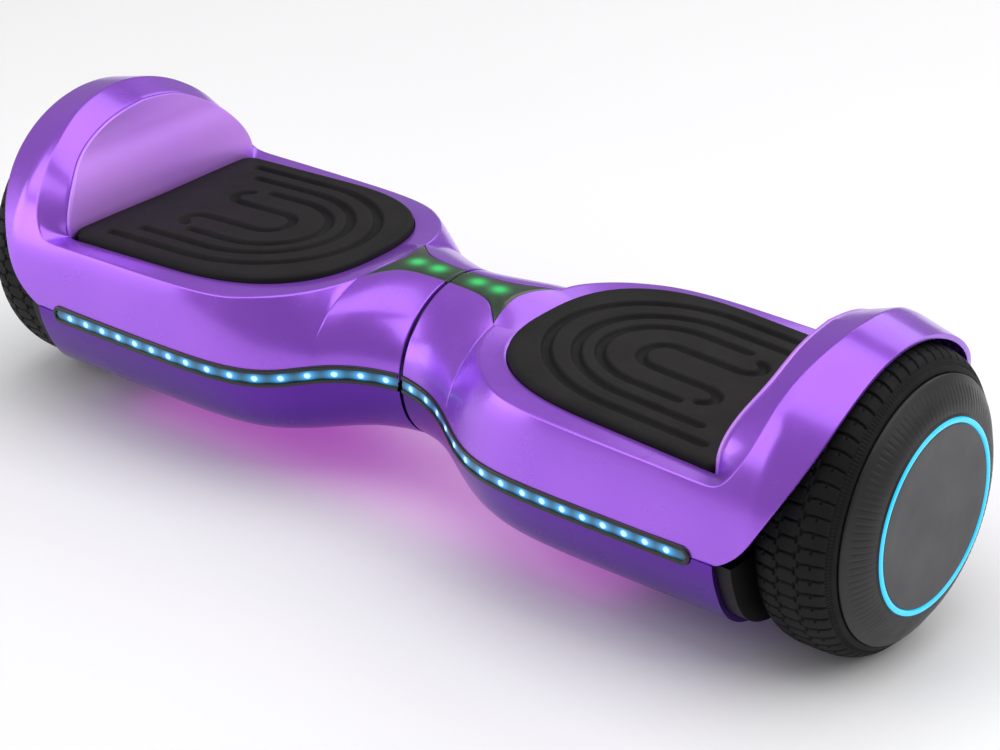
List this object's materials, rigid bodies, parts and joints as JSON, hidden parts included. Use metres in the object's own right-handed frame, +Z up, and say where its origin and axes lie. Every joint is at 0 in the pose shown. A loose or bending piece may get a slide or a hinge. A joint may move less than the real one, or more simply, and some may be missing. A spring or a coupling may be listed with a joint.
{
  "type": "self balancing hoverboard",
  "caption": "Two-wheeled self balancing board: two plated half bodies that twist on a centre tube, rubber footpads, arched fenders, hub motor wheels and a front light strip.",
  "frame": {"origin": "on the floor under the middle of the gap between the two halves", "axes": "+X to the right wheel along the wheel axis, +Y to the rear, +Z up; the light strip faces -Y"},
  "size_m": [0.615, 0.1915, 0.1768],
  "materials": {
    "purple_chrome": "plated gloss",
    "black_trim": "gloss",
    "blue_lens": "clear tinted, lit from behind",
    "white_led": "lit",
    "green_lens": "smoked, lit from behind",
    "black_plastic": "moulded texture",
    "grey_plastic": "satin",
    "cast_aluminium": "as cast",
    "zinc_steel": "zinc plated",
    "axle_steel": "ground",
    "bearing_steel": "polished",
    "laminated_steel": "laminated",
    "copper_wire": "enamelled",
    "magnet": "nickel plated",
    "tyre_rubber": "moulded tread",
    "cyan_light": "lit",
    "pad_rubber": "soft matt",
    "circuit_board": "solder mask",
    "battery_wrap": "shrink wrap",
    "bush_plastic": "natural",
    "cable_sheath": "smooth",
    "soft_black_rubber": "smooth"
  },
  "bodies": {
    "left_half": {"left_top_shell": "purple_chrome", "left_bottom_shell": "purple_chrome", "left_led_bezel": "black_trim", "left_led_lens": "blue_lens", "left_leds": "white_led", "left_indicator_lens": "green_lens", "left_wheel_liner": "black_plastic", "left_frame": "cast_aluminium", "left_axle_clamp": "cast_aluminium", "left_clamp_bolts": "zinc_steel", "left_axle": "axle_steel", "left_stator": "laminated_steel", "left_windings": "copper_wire", "left_sensor_board": "circuit_board", "left_screws": "zinc_steel", "battery_pack": "battery_wrap", "pivot_tube": "axle_steel", "pivot_circlips": "bearing_steel", "stop_pin": "axle_steel", "centre_cable": "cable_sheath"},
    "right_half": {"right_top_shell": "purple_chrome", "right_bottom_shell": "purple_chrome", "right_led_bezel": "black_trim", "right_led_lens": "blue_lens", "right_leds": "white_led", "right_indicator_lens": "green_lens", "right_wheel_liner": "black_plastic", "right_frame": "cast_aluminium", "right_axle_clamp": "cast_aluminium", "right_clamp_bolts": "zinc_steel", "right_axle": "axle_steel", "right_stator": "laminated_steel", "right_windings": "copper_wire", "right_sensor_board": "circuit_board", "right_screws": "zinc_steel", "main_board": "circuit_board", "heat_sink": "cast_aluminium", "pivot_bushes": "bush_plastic", "charge_socket": "black_plastic", "power_switch": "circuit_board"},
    "left_wheel": {"left_magnets": "magnet", "left_rotor": "cast_aluminium", "left_motor_cover": "cast_aluminium", "left_wheel_bearings": "bearing_steel", "left_tyre": "tyre_rubber", "left_hub_cap": "grey_plastic", "left_ring_light": "cyan_light"},
    "right_wheel": {"right_magnets": "magnet", "right_rotor": "cast_aluminium", "right_motor_cover": "cast_aluminium", "right_wheel_bearings": "bearing_steel", "right_tyre": "tyre_rubber", "right_hub_cap": "grey_plastic", "right_ring_light": "cyan_light"},
    "left_footpad": {"left_footpad": "pad_rubber", "left_pad_plungers": "pad_rubber"},
    "right_footpad": {"right_footpad": "pad_rubber", "right_pad_plungers": "pad_rubber"},
    "power_button": {"power_button": "black_plastic"},
    "charge_port_cap": {"charge_port_cap": "soft_black_rubber"}
  },
  "joints": [
    {"name": "centre_twist", "type": "hinge", "parent": "left_half", "child": "right_half", "pos_m": [0, 0, 0.079], "axis": [1, 0, 0], "range_deg": [-12, 12]},
    {"name": "left_wheel_spin", "type": "hinge", "parent": "left_half", "child": "left_wheel", "pos_m": [-0.27, 0, 0.0825], "axis": [1, 0, 0], "continuous": true},
    {"name": "right_wheel_spin", "type": "hinge", "parent": "right_half", "child": "right_wheel", "pos_m": [0.27, 0, 0.0825], "axis": [1, 0, 0], "continuous": true},
    {"name": "left_footpad_press", "type": "slide", "parent": "left_half", "child": "left_footpad", "axis": [0.0499, 0, -0.9988], "range_m": [0, 0.002], "stiffness_N_per_m": 15000},
    {"name": "right_footpad_press", "type": "slide", "parent": "right_half", "child": "right_footpad", "axis": [-0.0499, 0, -0.9988], "range_m": [0, 0.002], "stiffness_N_per_m": 15000},
    {"name": "power_button_press", "type": "slide", "parent": "right_half", "child": "power_button", "axis": [0, -0.9259, 0.3778], "range_m": [0, 0.001], "stiffness_N_per_m": 2000},
    {"name": "charge_cap_hinge", "type": "hinge", "parent": "right_half", "child": "charge_port_cap", "pos_m": [0.16, 0.08386, 0.03693], "axis": [-1, 0, 0], "range_deg": [0, 110]}
  ]
}
